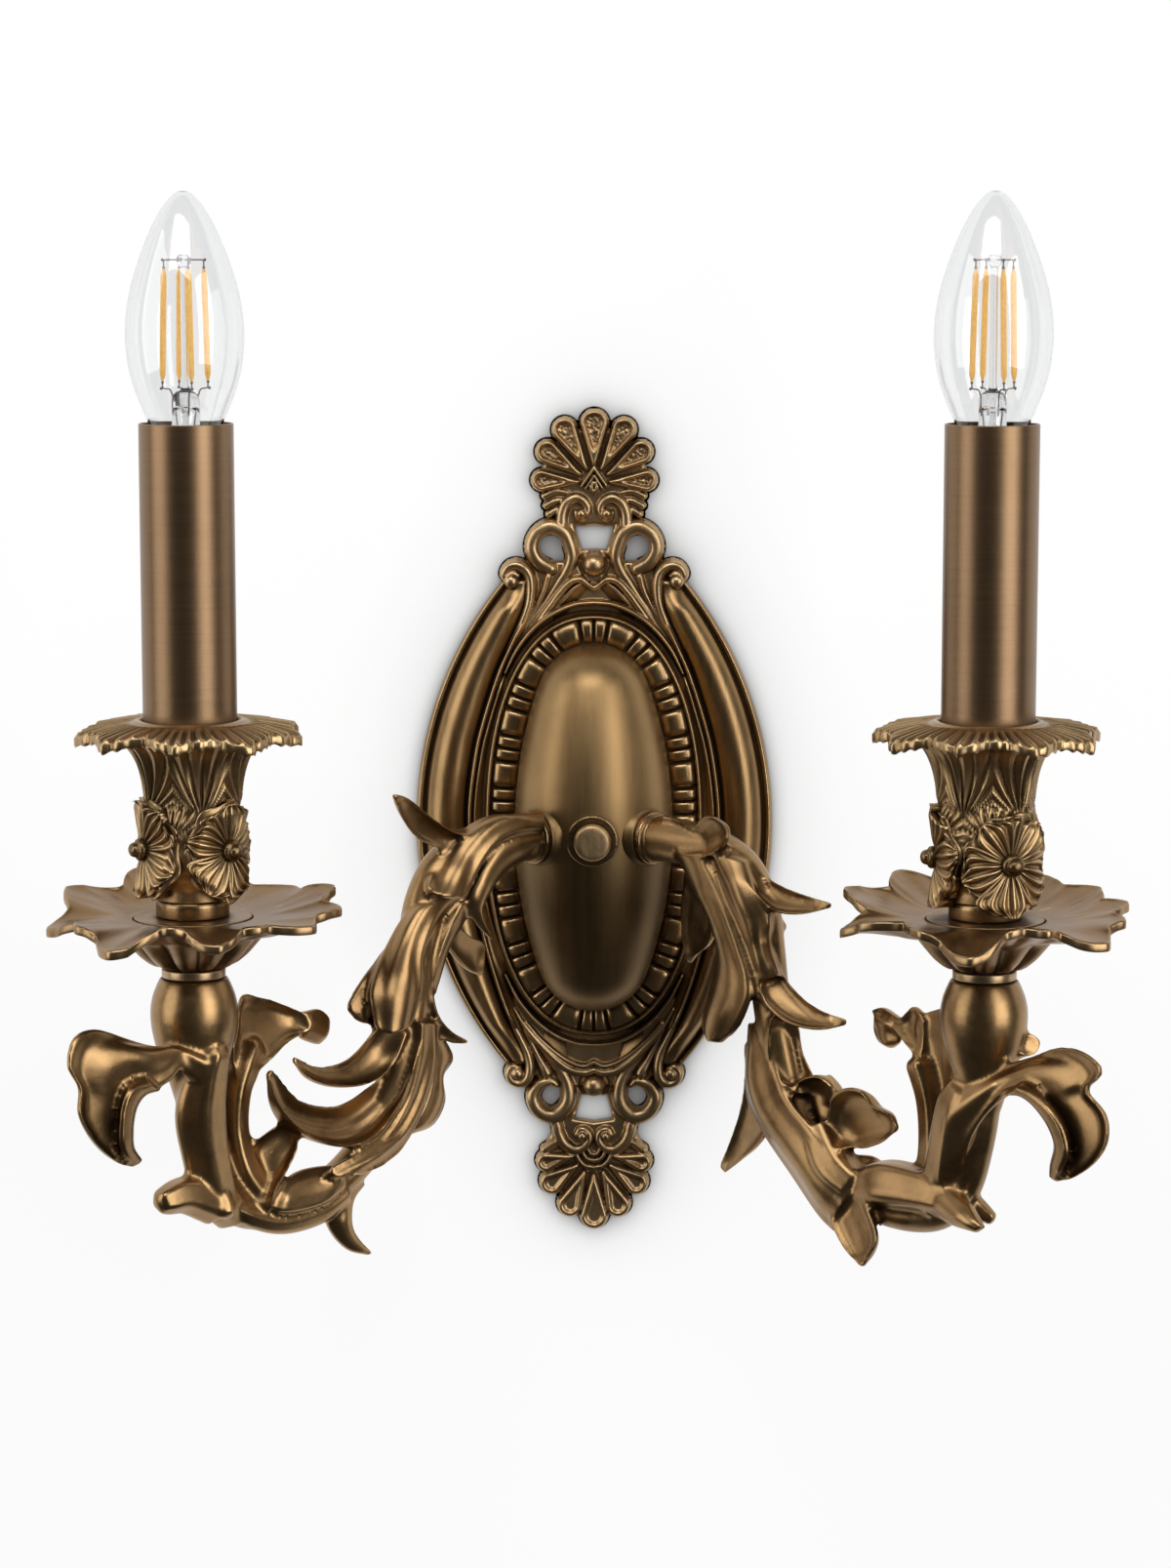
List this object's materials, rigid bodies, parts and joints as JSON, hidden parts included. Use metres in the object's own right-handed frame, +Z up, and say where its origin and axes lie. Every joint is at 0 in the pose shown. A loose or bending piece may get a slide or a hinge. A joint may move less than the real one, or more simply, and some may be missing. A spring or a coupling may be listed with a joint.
{
  "type": "double arm wall sconce",
  "caption": "Ornate cast brass wall sconce: pointed oval backplate, leafy arms, drip pans and candle cups with tall sleeves and clear candle lamps.",
  "frame": {"origin": "centre of the wall bracket's back face, on the wall", "axes": "+Z up, +Y into the wall, +X to the right seen from the room"},
  "size_m": [0.3236, 0.1688, 0.3413],
  "materials": {
    "antique_brass": "brushed, dark patina in the recesses",
    "sleeve_brass": "brushed round",
    "zinc_steel": "zinc plated",
    "raw_brass": "turned",
    "block_plastic": "moulded",
    "holder_plastic": "moulded",
    "lead_sheath": "smooth sheath",
    "lamp_glass": "clear",
    "stem_glass": "clear",
    "filament": "amber phosphor",
    "wire_metal": "drawn wire",
    "cap_metal": "nickel plated",
    "black_glass": "glassy",
    "solder": "dull"
  },
  "bodies": {
    "sconce": {"wall_bracket": "zinc_steel", "mounting_stud": "zinc_steel", "stud_nut": "zinc_steel", "earth_screw": "raw_brass", "terminal_block": "block_plastic", "terminal_screws": "zinc_steel", "backplate": "antique_brass", "left_arm": "antique_brass", "left_arm_collar": "antique_brass", "left_arm_nipple": "zinc_steel", "left_arm_washer": "zinc_steel", "left_arm_nut": "zinc_steel", "left_lead": "lead_sheath", "left_neck_ring": "antique_brass", "left_drip_pan": "antique_brass", "left_seat_disc": "antique_brass", "left_cup_foot": "antique_brass", "left_candle_cup": "antique_brass", "left_candle_tube": "zinc_steel", "left_cup_nut": "zinc_steel", "left_lampholder": "holder_plastic", "left_socket_shell": "raw_brass", "left_socket_contact": "raw_brass", "right_arm": "antique_brass", "right_arm_collar": "antique_brass", "right_arm_nipple": "zinc_steel", "right_arm_washer": "zinc_steel", "right_arm_nut": "zinc_steel", "right_lead": "lead_sheath", "right_neck_ring": "antique_brass", "right_drip_pan": "antique_brass", "right_seat_disc": "antique_brass", "right_cup_foot": "antique_brass", "right_candle_cup": "antique_brass", "right_candle_tube": "zinc_steel", "right_cup_nut": "zinc_steel", "right_lampholder": "holder_plastic", "right_socket_shell": "raw_brass", "right_socket_contact": "raw_brass"},
    "knob_washer": {"knob_washer": "antique_brass"},
    "knob": {"knob": "antique_brass"},
    "left_bulb_carrier": {"left_bulb_contact": "solder"},
    "left_bulb": {"left_bulb_glass": "lamp_glass", "left_bulb_stem": "stem_glass", "left_bulb_filaments": "filament", "left_bulb_wires": "wire_metal", "left_bulb_cap": "cap_metal", "left_bulb_insulator": "black_glass"},
    "left_sleeve": {"left_candle_sleeve": "sleeve_brass"},
    "right_bulb_carrier": {"right_bulb_contact": "solder"},
    "right_bulb": {"right_bulb_glass": "lamp_glass", "right_bulb_stem": "stem_glass", "right_bulb_filaments": "filament", "right_bulb_wires": "wire_metal", "right_bulb_cap": "cap_metal", "right_bulb_insulator": "black_glass"},
    "right_sleeve": {"right_candle_sleeve": "sleeve_brass"}
  },
  "joints": [
    {"name": "knob_travel", "type": "slide", "parent": "sconce", "child": "knob_washer", "axis": [0, -1, 0], "range_m": [0, 0.0033]},
    {"name": "knob_screw", "type": "hinge", "parent": "knob_washer", "child": "knob", "pos_m": [0, -0.0415, 0], "axis": [0, -1, 0], "range_deg": [0, 1440]},
    {"name": "left_bulb_travel", "type": "slide", "parent": "sconce", "child": "left_bulb_carrier", "axis": [0, 0, 1], "range_m": [0, 0.013]},
    {"name": "left_bulb_screw", "type": "hinge", "parent": "left_bulb_carrier", "child": "left_bulb", "pos_m": [-0.1185, -0.12, 0.12], "axis": [0, 0, 1], "range_deg": [0, 1620]},
    {"name": "left_sleeve_lift", "type": "slide", "parent": "sconce", "child": "left_sleeve", "axis": [0, 0, 1], "range_m": [0, 0.003]},
    {"name": "right_bulb_travel", "type": "slide", "parent": "sconce", "child": "right_bulb_carrier", "axis": [0, 0, 1], "range_m": [0, 0.013]},
    {"name": "right_bulb_screw", "type": "hinge", "parent": "right_bulb_carrier", "child": "right_bulb", "pos_m": [0.1185, -0.12, 0.12], "axis": [0, 0, 1], "range_deg": [0, 1620]},
    {"name": "right_sleeve_lift", "type": "slide", "parent": "sconce", "child": "right_sleeve", "axis": [0, 0, 1], "range_m": [0, 0.003]}
  ],
  "couplings": [
    {"joint": "knob_travel", "follows": "knob_screw", "m_per_rad": 0.00012732},
    {"joint": "left_bulb_travel", "follows": "left_bulb_screw", "m_per_rad": 0.00044882},
    {"joint": "right_bulb_travel", "follows": "right_bulb_screw", "m_per_rad": 0.00044882}
  ]
}
